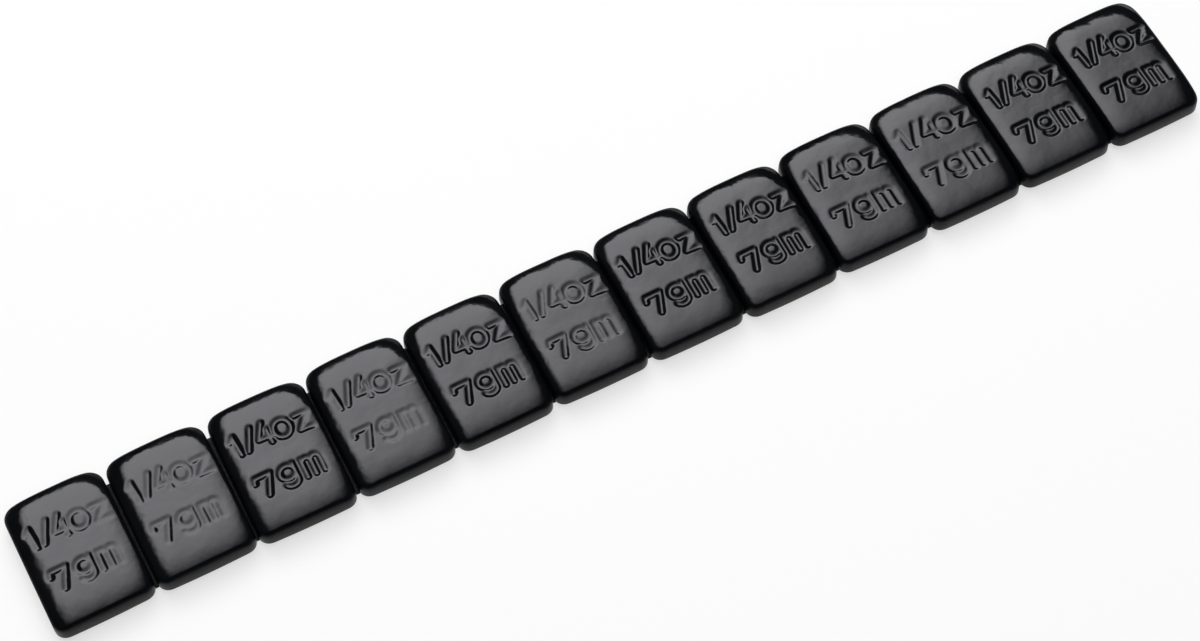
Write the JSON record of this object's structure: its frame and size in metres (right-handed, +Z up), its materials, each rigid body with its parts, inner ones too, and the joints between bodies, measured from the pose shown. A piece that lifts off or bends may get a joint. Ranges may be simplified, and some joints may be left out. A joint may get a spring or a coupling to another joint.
{
  "type": "wheel balance weight",
  "caption": "Stick-on wheel balance weight: a straight strip of like black-coated steel weights on double-sided foam tape, with a peel-off liner.",
  "frame": {"origin": "middle of the underside of the liner, which the strip lies on", "axes": "+X along the strip from weight_01 to weight_12, +Y across it to the side that the value marks' tops point to, +Z up out of the marked faces"},
  "size_m": [0.1702, 0.0198, 0.0047],
  "materials": {
    "coated_steel": "glossy black coating over steel",
    "foam": "black closed-cell foam",
    "liner_paper": "smooth coated paper"
  },
  "bodies": {
    "root": {"weight_01": "coated_steel", "weight_02": "coated_steel", "weight_03": "coated_steel", "weight_04": "coated_steel", "weight_05": "coated_steel", "weight_06": "coated_steel", "weight_07": "coated_steel", "weight_08": "coated_steel", "weight_09": "coated_steel", "weight_10": "coated_steel", "weight_11": "coated_steel", "weight_12": "coated_steel", "foam_tape": "foam", "release_liner": "liner_paper"}
  },
  "joints": []
}
